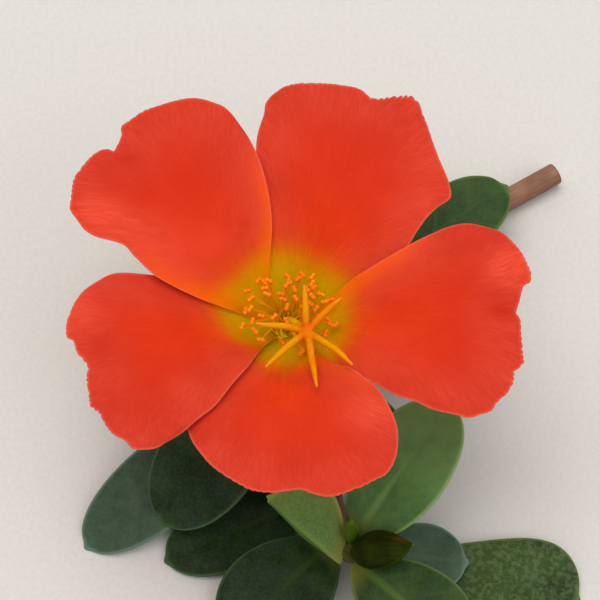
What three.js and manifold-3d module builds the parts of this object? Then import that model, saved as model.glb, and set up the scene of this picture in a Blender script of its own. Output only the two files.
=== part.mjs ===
// A picked sprig of portulaca with one open flower, its bud shoot and its fleshy leaves, lying on a surface.
// Millimetres, +Z up. While it is built, the flower's axis is the Z axis and the surface is z = 0.
// At the end everything is shifted so that the origin is the middle of the sprig's footprint, on the surface.
import * as THREE from 'three';
import { mergeVertices } from 'three/addons/utils/BufferGeometryUtils.js';
import Module from 'manifold-3d';

const wasm = await Module();
wasm.setup();

// Driving dimensions
const flowerHeight = 15; // where the petals would meet, above the surface
const bowlDepth = 13.2; // rise of the petals if they went on for ever
const bowlTurn = 11.5; // distance over which that rise fades
const petalThickness = 0.32;
const petalFoot = 2.2; // distance of each petal's foot from the flower's axis
const layerLift = 0.36; // half the spacing of two petals that overlap
const layerGrowth = 0.035; // more of it for each mm away from the axis
const rimDrop = 0.7; // how far the rims turn down again
const receptacleLength = 4.2; // from its foot up to where the petals would meet
const stemRadius = 1.25;
const sideStemRadius = 0.95;
const leafThickness = 1.15;
const sepalThickness = 0.5;
const seatGap = 0.3; // clearance of every piece to what carries it

const petalRed = 0xe2402c;
const leafGreen = 0x4a6b40;
const stemBrown = 0xa06a58;
const stigmaYellow = 0xf09a18;
const antherOrange = 0xf6741a;

const sprig = new THREE.Group();
const up = new THREE.Vector3(0, 0, 1);
const weldDistance = 1e-4;

function point(x, y, z) {
  return new THREE.Vector3(x, y, z);
}

// A point given by its angle round the flower's axis, its distance from it and its height.
function polarPoint(degrees, distance, height) {
  const angle = THREE.MathUtils.degToRad(degrees);
  return point(distance * Math.cos(angle), distance * Math.sin(angle), height);
}

function lerp(a, b, t) {
  return a + (b - a) * t;
}

function welded(geometry) {
  const bare = geometry.clone();
  bare.deleteAttribute('uv');
  bare.deleteAttribute('normal');
  return mergeVertices(bare, weldDistance);
}

function add(name, geometry, color, roughness) {
  const closed = welded(geometry);
  closed.computeVertexNormals();
  const mesh = new THREE.Mesh(closed, new THREE.MeshStandardMaterial({ color, roughness, metalness: 0 }));
  mesh.name = name;
  sprig.add(mesh);
}

// Moves every vertex of a three.js solid to where the shape function puts it.
function reshape(geometry, shape) {
  const position = geometry.getAttribute('position');
  const vertex = new THREE.Vector3();
  for (let i = 0; i < position.count; i += 1) {
    vertex.fromBufferAttribute(position, i);
    const moved = shape(vertex);
    position.setXYZ(i, moved.x, moved.y, moved.z);
  }
  return geometry;
}

function manifoldOf(geometry) {
  const merged = welded(geometry);
  const vertProperties = new Float32Array(merged.getAttribute('position').array);
  const triVerts = new Uint32Array(merged.index.array);
  return new wasm.Manifold(new wasm.Mesh({ numProp: 3, vertProperties, triVerts }));
}

function geometryOf(manifold) {
  const mesh = manifold.getMesh();
  const geometry = new THREE.BufferGeometry();
  geometry.setAttribute('position', new THREE.BufferAttribute(new Float32Array(mesh.vertProperties), 3));
  geometry.setIndex(new THREE.BufferAttribute(new Uint32Array(mesh.triVerts), 1));
  return geometry;
}

function joined(geometries) {
  return geometryOf(geometries.map(manifoldOf).reduce((whole, next) => whole.add(next)));
}

// A closed tube along a curve. Each station is a share of the curve's length and the radius there.
function taperedTube(curve, stations, sides) {
  const steps = stations.length - 1;
  const rod = new THREE.CylinderGeometry(1, 1, 1, sides, steps);
  const frameCount = 100;
  const frames = curve.computeFrenetFrames(frameCount);
  return reshape(rod, (v) => {
    const [share, radius] = stations[Math.round((v.y + 0.5) * steps)];
    const frame = Math.round(share * frameCount);
    return curve.getPointAt(share)
      .addScaledVector(frames.binormals[frame], v.x * radius)
      .addScaledVector(frames.normals[frame], v.z * radius);
  });
}

// A plain tube along a curve.
function stemTube(curve, radius, steps) {
  const circle = new THREE.Shape();
  circle.absarc(0, 0, radius, 0, 2 * Math.PI);
  return new THREE.ExtrudeGeometry(circle, { extrudePath: curve, steps, curveSegments: 5 });
}

// Where a vertex of a ball lies on a form stretched from pole to pole: s from 0 to 1 along it,
// and x and z as the direction round it, all zero at the poles.
function placeOnBall(vertex) {
  const s = Math.acos(THREE.MathUtils.clamp(vertex.y, -1, 1)) / Math.PI;
  const ring = Math.hypot(vertex.x, vertex.z);
  const atPole = ring < 1e-6;
  return { s, x: atPole ? 0 : vertex.x / ring, z: atPole ? 0 : vertex.z / ring };
}

// Petals. Each outline is seen from above, as points of [angle in degrees, distance from the axis in mm].
// 'from' is the margin on the clockwise side, 'to' the other one, and both run from the foot to the rim.
// A side is 1 where the petal lies over its neighbour, and -1 where it lies under it.
const petals = [
  {
    name: 'petal_top_left',
    fromSide: 1,
    toSide: 1,
    from: [[112, petalFoot], [107, 5], [98.5, 10], [101.5, 15], [105.5, 19]],
    rim: [
      [105.5, 19], [111, 21.1], [119, 22.7], [127, 23.4], [138, 23], [147, 23.3], [156, 22.9], [164, 21.2],
    ],
    to: [[174, petalFoot], [181, 5], [180, 8.5], [173, 13.5], [166.5, 16.8], [164, 21.2]],
    ruffle: { waves: 2.2, phase: 0.4, height: 0.35 },
  },
  {
    name: 'petal_top',
    fromSide: -1,
    toSide: -1,
    from: [[28, petalFoot], [14, 6], [16, 10], [24, 14], [31, 18.2]],
    rim: [[31, 18.2], [37, 20.1], [46, 21.5], [56, 23.6], [66, 22.7], [76, 22.7], [87, 22.5], [94, 21.4]],
    to: [[104, petalFoot], [110, 6], [107, 10], [101.5, 15], [98.5, 18.5], [94, 21.4]],
    ruffle: { waves: 2.6, phase: 1.2, height: 0.4 },
  },
  {
    name: 'petal_right',
    fromSide: -1,
    toSide: 1,
    from: [[-54, petalFoot], [-63, 5], [-57, 9], [-49, 13.5], [-44.5, 17.5], [-42, 21]],
    rim: [[-42, 21], [-36, 23.4], [-25, 24], [-12, 23.1], [0, 23.8], [9, 23], [15, 21.6], [20, 18.8]],
    to: [[17, petalFoot], [21, 6], [22, 10], [22, 15], [20, 18.8]],
    ruffle: { waves: 2.2, phase: 2.4, height: 0.4 },
  },
  {
    name: 'petal_bottom',
    fromSide: -1,
    toSide: 1,
    from: [[248, petalFoot], [236, 4.5], [233, 8], [236, 13], [240.5, 17], [246, 18.9]],
    rim: [
      [246, 18.9], [253, 20.6], [262, 21.8], [271, 22], [281, 22.6], [289, 22.9], [296, 22.4], [301, 20.6],
    ],
    to: [[297, petalFoot], [304, 7.5], [308.5, 11], [309, 14.5], [306, 18], [301, 20.6]],
    ruffle: { waves: 1.8, phase: 0.9, height: 0.3 },
  },
  {
    name: 'petal_left',
    fromSide: -1,
    toSide: 1,
    from: [[184, petalFoot], [171, 5], [170, 9], [172, 14], [176, 17.8]],
    rim: [
      [176, 17.8], [183, 19.6], [193, 21.3], [203, 21], [212, 21.9], [221, 22.9], [231, 23.2], [237.5, 21],
    ],
    to: [[238, petalFoot], [244, 6], [244, 10], [242, 15], [237.5, 21]],
    ruffle: { waves: 2.4, phase: 3.1, height: 0.35 },
  },
];
const petalCells = { across: 12, along: 10 };

function outlineCurve(places) {
  return new THREE.CatmullRomCurve3(places.map(([degrees, distance]) => polarPoint(degrees, distance, 0)));
}

// A place on the petal seen from above: u runs from margin to margin, v from the foot to the rim.
function petalPlan(edges, u, v) {
  const foot = edges.foot.getPoint(u);
  const rim = edges.rim.getPoint(u);
  const from = edges.from.getPoint(v);
  const to = edges.to.getPoint(v);
  const corners = point(0, 0, 0)
    .addScaledVector(edges.foot.getPoint(0), (1 - u) * (1 - v))
    .addScaledVector(edges.foot.getPoint(1), u * (1 - v))
    .addScaledVector(edges.rim.getPoint(0), (1 - u) * v)
    .addScaledVector(edges.rim.getPoint(1), u * v);
  return foot.multiplyScalar(1 - v).addScaledVector(rim, v)
    .addScaledVector(from, 1 - u).addScaledVector(to, u).sub(corners);
}

// The bowl that all petals follow.
function bowlHeight(distance) {
  return bowlDepth * (1 - Math.exp(-distance / bowlTurn));
}

// How far a petal stands off the bowl: over or under its neighbours at its margins, ruffled towards
// the rim, and turned down a little at the rim, most of all at its two corners.
function petalLift(petal, u, v, distance) {
  const side = u < 0.5 ? petal.fromSide : petal.toSide;
  const layer = side * Math.cos(Math.PI * u) ** 2 * (layerLift + layerGrowth * distance);
  const { waves, phase, height } = petal.ruffle;
  const ruffle = height * v ** 3 * Math.sin(waves * 2 * Math.PI * u + phase);
  const nearRim = THREE.MathUtils.smoothstep(v, 0.8, 1);
  const nearCorner = THREE.MathUtils.smoothstep(Math.abs(u - 0.5), 0.2, 0.5);
  return layer + ruffle - rimDrop * nearRim * lerp(0.5, 1, nearCorner);
}

function petalShape(petal) {
  const footFrom = petal.from[0][0];
  const footTo = petal.to[0][0];
  const edges = {
    foot: outlineCurve([footFrom, (footFrom + footTo) / 2, footTo].map((degrees) => [degrees, petalFoot])),
    rim: outlineCurve(petal.rim),
    from: outlineCurve(petal.from),
    to: outlineCurve(petal.to),
  };
  return (vertex) => {
    const u = vertex.x + 0.5;
    const v = vertex.y + 0.5;
    const plan = petalPlan(edges, u, v);
    const distance = Math.hypot(plan.x, plan.y);
    const slope = (bowlDepth / bowlTurn) * Math.exp(-distance / bowlTurn);
    const normal = point(-slope * plan.x / distance, -slope * plan.y / distance, 1).normalize();
    plan.z = flowerHeight + bowlHeight(distance);
    return plan.addScaledVector(normal, petalLift(petal, u, v, distance) - vertex.z * petalThickness);
  };
}

function addPetal(petal) {
  const sheet = new THREE.BoxGeometry(1, 1, 1, petalCells.across, petalCells.along, 1);
  add(petal.name, reshape(sheet, petalShape(petal)), petalRed, 0.6);
}

// Receptacle: the green cup that holds the ovary and carries petals, stamens and style.
// Its profile is given as [radius, height above where the petals would meet].
const receptacleTop = 1.45;
const receptacleProfile = [
  [0, -receptacleLength], [1.15, -receptacleLength], [1.3, -3.4], [2.2, -1.6], [2.2, 0.4], [1.8, 1.35],
  [0, receptacleTop],
];

function addReceptacle() {
  const cup = new THREE.LatheGeometry(receptacleProfile.map(([r, z]) => new THREE.Vector2(r, z)), 16);
  cup.rotateX(Math.PI / 2);
  cup.translate(0, 0, flowerHeight);
  add('receptacle', cup, leafGreen, 0.55);
}

// Pistil: a leaning style with the six arms of the stigma, all grown as one.
const starCentre = point(2.2, -3.8, 22.4);
const armTips = [
  point(1.9, 0.6, 23.9), point(5.5, -0.8, 23.8), point(6.5, -8.4, 24.5),
  point(3.1, -10.9, 24.8), point(-1.8, -8.6, 24.4), point(-2.8, -3.7, 24),
];
const armArch = 0.35; // how far the middle of each arm stands above the straight line
const armStations = [[0, 0.34], [0.3, 0.34], [0.6, 0.3], [0.85, 0.25], [1, 0.12]];
const styleStations = [[0, 0.32], [0.3, 0.34], [0.55, 0.36], [0.8, 0.4], [1, 0.45]];
const styleLine = new THREE.CatmullRomCurve3([
  point(0, 0, flowerHeight + receptacleTop + seatGap), point(0.3, -0.5, 18.6), point(1.2, -2.1, 20.8),
  starCentre,
]);

function armLine(tip) {
  const middle = starCentre.clone().lerp(tip, 0.5);
  middle.z += armArch;
  return new THREE.CatmullRomCurve3([starCentre, middle, tip]);
}

function addPistil() {
  const style = taperedTube(styleLine, styleStations, 8);
  const arms = armTips.map((tip) => taperedTube(armLine(tip), armStations, 6));
  add('pistil', joined([style, ...arms]), stigmaYellow, 0.5);
}

// Stamens: filaments fan out from three rings round the style, and each ends in an oblong anther.
// Their heads are seen from above, as [x, y] from the flower's axis, in the order of the filaments' feet.
const stamenHeads = [
  [1.1, 0.3], [3.7, 1], [2.8, 3.3], [1, 1.4], [2.3, 1.5], [1.4, 2.9], [-0.4, 0.8], [0.2, 2], [0.3, 3.2],
  [-2.1, 1.7], [-1.6, 2.7], [-2.7, 2.8], [-3.5, 0.5], [-3.9, 1.6], [-4, -0.9], [0.3, -0.8], [-4.3, -2.6],
  [-3, -3.3], [-2.4, -1.7], [-2.4, -4.3], [-0.2, -4.6], [-1.1, -1.9], [0.2, -2.4], [4.2, -3.5], [1.7, -5.1],
  [4.5, -2], [4.7, 0.5], [2, -0.6], [3.2, -0.9],
];
const headsMiddle = { x: 0.4, y: -1.6, height: flowerHeight + 7 };
const headsSpread = 4.7; // radius of the ring on which the heads stand headsDrop lower than in the middle
const headsDrop = 0.8;
const footRings = [0.66, 0.93, 1.2]; // distances of the filaments' feet from the axis
const footHeight = flowerHeight + receptacleTop + seatGap;
const stamenStations = [
  [0, 0.1], [0.45, 0.1], [0.85, 0.1], [0.88, 0.28], [0.94, 0.38], [0.985, 0.28], [1, 0.1],
];

function stamenLine([x, y], index) {
  const angle = (index / stamenHeads.length) * 360;
  const foot = polarPoint(angle, footRings[index % footRings.length], footHeight);
  const reach = Math.hypot(x - headsMiddle.x, y - headsMiddle.y) / headsSpread;
  const head = point(x, y, headsMiddle.height - headsDrop * reach ** 2);
  const middle = foot.clone().lerp(head, 0.25);
  middle.z = lerp(foot.z, head.z, 0.58);
  return new THREE.CatmullRomCurve3([foot, middle, head]);
}

function addStamens() {
  stamenHeads.forEach((head, index) => {
    const name = `stamen_${String(index + 1).padStart(2, '0')}`;
    add(name, taperedTube(stamenLine(head, index), stamenStations, 5), antherOrange, 0.7);
  });
}

// Leaves and sepals. A blade runs from its foot to its tip along a midline that stands 'arch' above
// the straight line. 'taper' says how slowly it widens from the foot, 'roll' turns it about its midline
// and 'fold' lifts both halves, both in degrees.
const tipRoundness = 0.5;
const stalkWidth = 0.14; // as a share of the blade's width

// Half the width of a blade along its length, where 1 is its widest.
function bladeOutline(s, taper) {
  const widest = taper / (taper + tipRoundness);
  const body = (s / widest) ** taper * ((1 - s) / (1 - widest)) ** tipRoundness;
  const stalk = stalkWidth * Math.min(1, s * 12) * Math.sqrt(1 - s);
  return Math.hypot(body, stalk);
}

function bladeGeometry(blade) {
  const { foot, tip, width, thickness = leafThickness, taper = 0.75, arch = 0, roll = 0, fold = 0 } = blade;
  const along = tip.clone().sub(foot).normalize();
  const level = along.clone().cross(up).normalize();
  const raised = level.clone().cross(along);
  const turn = THREE.MathUtils.degToRad(roll);
  const across = level.clone().applyAxisAngle(along, turn);
  const outward = raised.clone().applyAxisAngle(along, turn);
  const lift = Math.sin(THREE.MathUtils.degToRad(fold));
  const spread = Math.cos(THREE.MathUtils.degToRad(fold));
  return reshape(new THREE.SphereGeometry(1, 10, 9), (vertex) => {
    const { s, x, z } = placeOnBall(vertex);
    const side = x * 0.5 * width * bladeOutline(s, taper);
    const depth = z * 0.5 * thickness * Math.sqrt(Math.sin(Math.PI * s));
    return foot.clone().lerp(tip, s)
      .addScaledVector(raised, 4 * arch * s * (1 - s))
      .addScaledVector(across, side * spread)
      .addScaledVector(outward, Math.abs(side) * lift - depth);
  });
}

function blade(foot, tip, width, more = {}) {
  return { foot: point(...foot), tip: point(...tip), width, ...more };
}

// A leaf of the whorl right under the flower, at an angle round the stem.
function whorlBlade(degrees, footHeight, length, width, tipHeight, arch) {
  const start = stemRadius + seatGap;
  const foot = polarPoint(degrees, start, footHeight);
  const tip = polarPoint(degrees, start + length, tipHeight);
  return { foot, tip, width, arch };
}

// The whorl's feet stand in two rings, so that neighbours pass over each other.
const whorlLow = 7.6;
const whorlHigh = 9.2;

const leaves = {
  whorl_leaf_1: whorlBlade(128, whorlLow, 18, 8.6, 0.05, -0.6),
  whorl_leaf_2: whorlBlade(182, whorlHigh, 17, 8, 5.2, 0.9),
  whorl_leaf_3: whorlBlade(231, whorlLow, 18, 10.4, 1.8, 0.9),
  whorl_leaf_4: whorlBlade(284, whorlHigh, 12, 7.2, 6.6, 0.9),
  whorl_leaf_5: whorlBlade(317, whorlLow, 16, 8.2, 4.8, 0.9),
  whorl_leaf_6: whorlBlade(8, whorlHigh, 18, 8.2, 4.6, 0.9),
  lower_leaf: blade([-1.6, -1.4, 4], [-20.2, -17, 0.05], 9),
  bud_leaf_folded: blade([5.2, -20.7, 5.4], [-1.6, -15.4, 8.8], 9.8, { arch: 0.2, roll: -55, fold: -50 }),
  bud_leaf_upright: blade([7.6, -17.6, 5.8], [16.6, -7.2, 13.3], 9.4, { taper: 0.6, arch: 0.8 }),
  bud_leaf_low: blade([7.7, -19, 3.2], [18.2, -19.6, 2.3], 7.4, { thickness: 0.9, arch: 0.1 }),
  bud_leaf_front: blade([7, -20.8, 4.6], [18, -30, 0.05], 10.4, { arch: 1.5 }),
  bud_leaf_right: blade([7.2, -17.6, 1.9], [29.5, -23, 0.3], 11, { taper: 2, arch: -0.3 }),
  bud_leaf_left: blade([4.8, -17.6, 2.3], [-5.4, -27.6, 0.05], 11, { arch: 1.1 }),
  side_leaf: blade([3.5, -12, 1.3], [-12, -18.6, 0.3], 8, { thickness: 1 }),
  stem_leaf: blade([9, 12, 2.6], [23.6, 22.4, 5.5], 8.4, { arch: 0.8 }),
};

function addLeaves() {
  for (const [name, leaf] of Object.entries(leaves)) {
    add(name, bladeGeometry(leaf), leafGreen, 0.5);
  }
}

// The two sepals under the petals, hugging the bowl.
const sepals = { sepal_front: 244, sepal_back: 64 };

function addSepals() {
  for (const [name, degrees] of Object.entries(sepals)) {
    const foot = polarPoint(degrees, 2.55, flowerHeight - 0.6);
    const tip = polarPoint(degrees, 10, flowerHeight + 4.4);
    add(name, bladeGeometry({ foot, tip, width: 6, thickness: sepalThickness, arch: 0.2 }), leafGreen, 0.55);
  }
}

// Stems: the flower's own stem turns down to the surface, and the bud shoot branches off it.
const mainStem = new THREE.CatmullRomCurve3([
  point(0, 0, flowerHeight - receptacleLength - seatGap), point(0, 0.1, 7.8), point(2, 2.4, 3.6),
  point(6.5, 7.4, 1.7), point(13.5, 14.6, 1.3), point(21.5, 21.4, 1.3), point(29.5, 26.6, 1.35),
]);
const budStem = new THREE.CatmullRomCurve3([
  point(2.6, 0.6, 3.2), point(3.2, -3.6, 2), point(4.4, -9.6, 1.4), point(5.6, -15.2, 1.6),
  point(6.5, -19, 3.6), point(6.6, -19.8, 5.4),
]);

function addStems() {
  add('main_stem', stemTube(mainStem, stemRadius, 24), stemBrown, 0.6);
  add('bud_stem', stemTube(budStem, sideStemRadius, 16), stemBrown, 0.6);
}

// The closed bud: two keeled sepals that clasp each other and end in one point.
const bud = {
  foot: point(6.8, -20.2, 6.1),
  tip: point(12.8, -20.3, 8.6),
  halfWidth: 1.9,
  depth: 1.8,
  halfGap: 0.1, // of the split between the two
};
const budSepals = { bud_sepal_upper: 1, bud_sepal_lower: -1 };

function budSepalGeometry(side) {
  const along = bud.tip.clone().sub(bud.foot);
  const across = along.clone().cross(up).normalize();
  const outward = across.clone().cross(along).normalize();
  return reshape(new THREE.SphereGeometry(1, 10, 8), (vertex) => {
    const { s, x, z } = placeOnBall(vertex);
    const fullness = Math.sin(Math.PI * s ** 0.8) ** 0.85;
    const depth = bud.depth * fullness * Math.max(0, -side * z);
    return bud.foot.clone().addScaledVector(along, s)
      .addScaledVector(across, x * bud.halfWidth * fullness)
      .addScaledVector(outward, side * (depth + bud.halfGap));
  });
}

function addBud() {
  for (const [name, side] of Object.entries(budSepals)) {
    add(name, budSepalGeometry(side), leafGreen, 0.5);
  }
}

// A young bud, still tightly closed, beside the older one.
const youngBud = blade([6.6, -18.7, 6], [6.6, -17.8, 8.4], 1.9, { thickness: 1.7 });

function addYoungBud() {
  add('bud_young', bladeGeometry(youngBud), leafGreen, 0.5);
}

petals.forEach(addPetal);
addReceptacle();
addPistil();
addStamens();
addSepals();
addStems();
addBud();
addYoungBud();
addLeaves();

sprig.updateMatrixWorld(true);
const box = new THREE.Box3().setFromObject(sprig, true);
sprig.position.set(-(box.min.x + box.max.x) / 2, -(box.min.y + box.max.y) / 2, -box.min.z);

export default sprig;
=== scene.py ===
# Looks of a picked portulaca sprig: one open flower, its bud shoot and its fleshy leaves, lying down.
import math

import bmesh
import bpy
import numpy as np
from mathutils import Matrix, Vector
from mathutils.kdtree import KDTree


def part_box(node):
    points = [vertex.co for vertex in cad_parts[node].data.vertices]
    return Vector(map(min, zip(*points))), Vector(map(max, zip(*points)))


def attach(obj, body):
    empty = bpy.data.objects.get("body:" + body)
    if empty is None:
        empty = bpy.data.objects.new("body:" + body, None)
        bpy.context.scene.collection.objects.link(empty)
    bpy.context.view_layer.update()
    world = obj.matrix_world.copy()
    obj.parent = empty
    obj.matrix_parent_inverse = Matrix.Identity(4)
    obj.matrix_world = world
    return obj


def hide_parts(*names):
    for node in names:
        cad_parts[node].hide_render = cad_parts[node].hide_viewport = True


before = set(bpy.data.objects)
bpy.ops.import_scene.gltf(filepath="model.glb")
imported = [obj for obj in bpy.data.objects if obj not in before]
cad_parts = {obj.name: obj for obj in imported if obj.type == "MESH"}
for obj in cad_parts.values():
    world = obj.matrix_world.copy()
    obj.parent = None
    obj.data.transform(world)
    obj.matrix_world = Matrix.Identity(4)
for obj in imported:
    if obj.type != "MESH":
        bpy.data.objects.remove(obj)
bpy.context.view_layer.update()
mm = 0.001

# Sizes are in mm, measured from the foot of the flower's axis on the surface it lies on.
# The cup under the petals says where that point is in the frame.
flower = {"height": 15.0, "cupLength": 4.2}
cupLow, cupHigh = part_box("receptacle")
origin = np.array([
    (cupLow.x + cupHigh.x) / 2,
    (cupLow.y + cupHigh.y) / 2,
    cupLow.z - (flower["height"] - flower["cupLength"]) * mm,
])
print("frame loaded, the flower's axis is at", [round(value / mm, 2) for value in origin.tolist()])


def place(points):
    return np.asarray(points, float) * mm + origin


def smooth(value, low, high):
    share = np.clip((value - low) / (high - low), 0, 1)
    return share * share * (3 - 2 * share)


def unit(vectors):
    vectors = np.asarray(vectors, float)
    return vectors / np.maximum(np.linalg.norm(vectors, axis=-1, keepdims=True), 1e-9)


def polar(degrees, distance, *height):
    angle = math.radians(degrees)
    return [distance * math.cos(angle), distance * math.sin(angle), *height]


# A centripetal spline through its knots. It heads on from 'before' and towards 'after', so that two
# of them that share an end can join smoothly there.
def splineAt(knots, shares, before=None, after=None):
    knots = np.asarray(knots, float)
    before = 2 * knots[0] - knots[1] if before is None else before
    after = 2 * knots[-1] - knots[-2] if after is None else after
    padded = np.vstack([before, knots, after])
    span = np.asarray(shares, float) * (len(knots) - 1)
    index = np.clip(span.astype(int), 0, len(knots) - 2)
    w = (span - index)[:, None]
    p0, p1, p2, p3 = (padded[index + k] for k in range(4))
    gaps = [(p0, p1), (p1, p2), (p2, p3)]
    near, here, far = (np.sum((b - a) ** 2, axis=1)[:, None] ** 0.25 for a, b in gaps)
    leave = ((p1 - p0) / near - (p2 - p0) / (near + here) + (p2 - p1) / here) * here
    arrive = ((p2 - p1) / here - (p3 - p1) / (here + far) + (p3 - p2) / far) * here
    turn = 3 * (p2 - p1) - 2 * leave - arrive
    return p1 + leave * w + turn * w**2 + (2 * (p1 - p2) + leave + arrive) * w**3


# The same curve at even shares of its length.
def evenSplineAt(knots, shares, before=None, after=None):
    fine = np.linspace(0, 1, 401)
    steps = np.linalg.norm(np.diff(splineAt(knots, fine, before, after), axis=0), axis=1)
    travelled = np.concatenate([[0], np.cumsum(steps)])
    reached = np.interp(np.asarray(shares) * travelled[-1], travelled, fine)
    return splineAt(knots, reached, before, after)


# Distance from each point of a grid to the nearest of some other points.
def nearest(grid, targets):
    tree = KDTree(len(targets))
    for index, target in enumerate(targets):
        tree.insert(target, index)
    tree.balance()
    return np.array([tree.find(point)[2] for point in grid.reshape(-1, 3)]).reshape(grid.shape[:-1])


# Soft unevenness over a set of points, between about -1 and 1, with bumps of the given size.
def unevenness(points, size, seed):
    chance = np.random.default_rng(seed)
    waves = unit(chance.normal(size=(12, 3))) * (2 * np.pi / size) * chance.uniform(0.6, 1.5, (12, 1))
    phases = chance.uniform(0, 2 * np.pi, 12)
    return np.sin(np.asarray(points) @ waves.T + phases).sum(axis=-1) / 4


# Shares of a closed form's length, which crowd towards both its ends.
def crowdedShares(count):
    return (0.5 - 0.5 * np.cos(np.pi * np.arange(1, count + 1) / (count + 1)))[:, None]


def ringTurns(sides):
    return 2 * np.pi * np.arange(sides) / sides


# Faces of a tube of rings with a point at each end: the rings come first, then the two end points.
def ringFaces(rings, sides):
    faces = []
    for ring in range(rings - 1):
        for k in range(sides):
            a = ring * sides + k
            b = ring * sides + (k + 1) % sides
            faces.append((a, b, b + sides, a + sides))
    first = rings * sides
    last = (rings - 1) * sides
    for k in range(sides):
        faces.append((first, (k + 1) % sides, k))
        faces.append((first + 1, last + k, last + (k + 1) % sides))
    return faces


# A closed tube of rings with a point at each end. A reading is its values on the rings, then at both ends.
def closedTube(rings, ends, **readings):
    shape = rings.shape[:2]
    values = {
        label: np.append(np.broadcast_to(onRings, shape), onEnds)
        for label, (onRings, *onEnds) in readings.items()
    }
    return np.concatenate([rings.reshape(-1, 3), ends]), ringFaces(*shape), values


# Faces of a thin closed sheet: the upper grid comes first, then the lower one.
def sheetFaces(rows, columns):
    faces = []
    lower = rows * columns
    for i in range(rows - 1):
        for j in range(columns - 1):
            a = i * columns + j
            faces.append((a, a + 1, a + columns + 1, a + columns))
            faces.append((lower + a, lower + a + columns, lower + a + columns + 1, lower + a + 1))
    edge = list(range(columns))
    edge += [i * columns + columns - 1 for i in range(1, rows)]
    edge += [(rows - 1) * columns + j for j in range(columns - 2, -1, -1)]
    edge += [i * columns for i in range(rows - 2, 0, -1)]
    for a, b in zip(edge, edge[1:] + edge[:1]):
        faces.append((b, a, lower + a, lower + b))
    return faces


def addObject(name, data):
    thing = bpy.data.objects.new(name, data)
    bpy.context.scene.collection.objects.link(thing)
    return thing


# A mesh whose faces all look outward.
def newMesh(name, points, faces):
    mesh = bpy.data.meshes.new(name)
    mesh.from_pydata(points.tolist(), [], faces)
    form = bmesh.new()
    form.from_mesh(mesh)
    bmesh.ops.recalc_face_normals(form, faces=form.faces)
    form.to_mesh(mesh)
    form.free()
    return mesh


# One smooth piece of the sprig, with the finish of its slot, in place of its nodes. A solid is points in
# mm, faces, and readings, which are values that the material reads, one for each point.
def addPiece(name, nodes, solid, materials, faceMaterials=None):
    points, faces, readings = solid
    mesh = newMesh(name, place(points), faces)
    for label, values in readings.items():
        layer = mesh.attributes.new(label, "FLOAT", "POINT")
        layer.data.foreach_set("value", np.asarray(values, np.float32).ravel())
    for material in materials:
        mesh.materials.append(material)
    if faceMaterials is not None:
        mesh.polygons.foreach_set("material_index", np.asarray(faceMaterials, np.int32))
    mesh.polygons.foreach_set("use_smooth", np.ones(len(mesh.polygons), bool))
    mesh.update()
    piece = addObject(name, mesh)
    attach(piece, "root")
    if nodes:
        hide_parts(*nodes)


def colour(code):
    channels = [int(code[k:k + 2], 16) / 255 for k in (0, 2, 4)]
    return (*[c / 12.92 if c <= 0.04045 else ((c + 0.055) / 1.055) ** 2.4 for c in channels], 1.0)


# The nodes of a material or a group, with the finish that has their colours and soft steps by name.
class Nodes:
    def __init__(self, tree, finish):
        self.tree = tree
        self.finish = finish

    # Gives a socket its value, which may be another node's socket or the name of a colour.
    def feed(self, socket, value):
        if isinstance(value, bpy.types.NodeSocket):
            self.tree.links.new(value, socket)
        elif isinstance(value, str):
            socket.default_value = colour(self.finish[value])
        else:
            socket.default_value = value

    def add(self, kind, inputs=None, **settings):
        made = self.tree.nodes.new("ShaderNode" + kind)
        for label, value in settings.items():
            setattr(made, label, value)
        for label, value in (inputs or {}).items():
            self.feed(made.inputs[label], value)
        return made

    def use(self, group, **inputs):
        return self.add("Group", inputs, node_tree=group.tree).outputs[0]

    # The values that are stored at the points of a piece, by their labels.
    def read(self, labels):
        return [self.add("Attribute", attribute_name=label).outputs["Fac"] for label in labels.split()]

    def maths(self, operation, first, second=0.0):
        return self.add("Math", {0: first, 1: second}, operation=operation).outputs[0]

    def times(self, first, second):
        return self.maths("MULTIPLY", first, second)

    # The sum of some values, each times its weight.
    def weighted(self, *parts):
        total, *rest = [self.times(value, weight) for value, weight in parts]
        for part in rest:
            total = self.maths("ADD", total, part)
        return total

    # A soft step: 'low' gives the first result, 'high' the second.
    def between(self, value, low, high, first=0.0, second=1.0):
        limits = {"Value": value, "From Min": low, "From Max": high, "To Min": first, "To Max": second}
        return self.add("MapRange", limits, interpolation_type="SMOOTHSTEP").outputs[0]

    def band(self, value, name):
        return self.between(value, *self.finish[name])

    def mixed(self, share, first, second):
        return self.add("Mix", {0: share, 6: first, 7: second}, data_type="RGBA").outputs[2]

    # A colour with others laid over it in turn, each with its share.
    def layered(self, tint, *layers):
        for share, over in layers:
            tint = self.mixed(share, tint, over)
        return tint

    # Colours along a scale that runs from 0 to the last stop.
    def ramp(self, value, name):
        stops = self.finish[name]
        longest = stops[-1][0]
        made = self.add("ValToRGB", {0: self.maths("DIVIDE", value, longest)})
        elements = made.color_ramp.elements
        while len(elements) < len(stops):
            elements.new(0.5)
        for element, (spot, code) in zip(elements, stops):
            element.position = spot / longest
            element.color = colour(code)
        return made.outputs[0]


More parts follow.
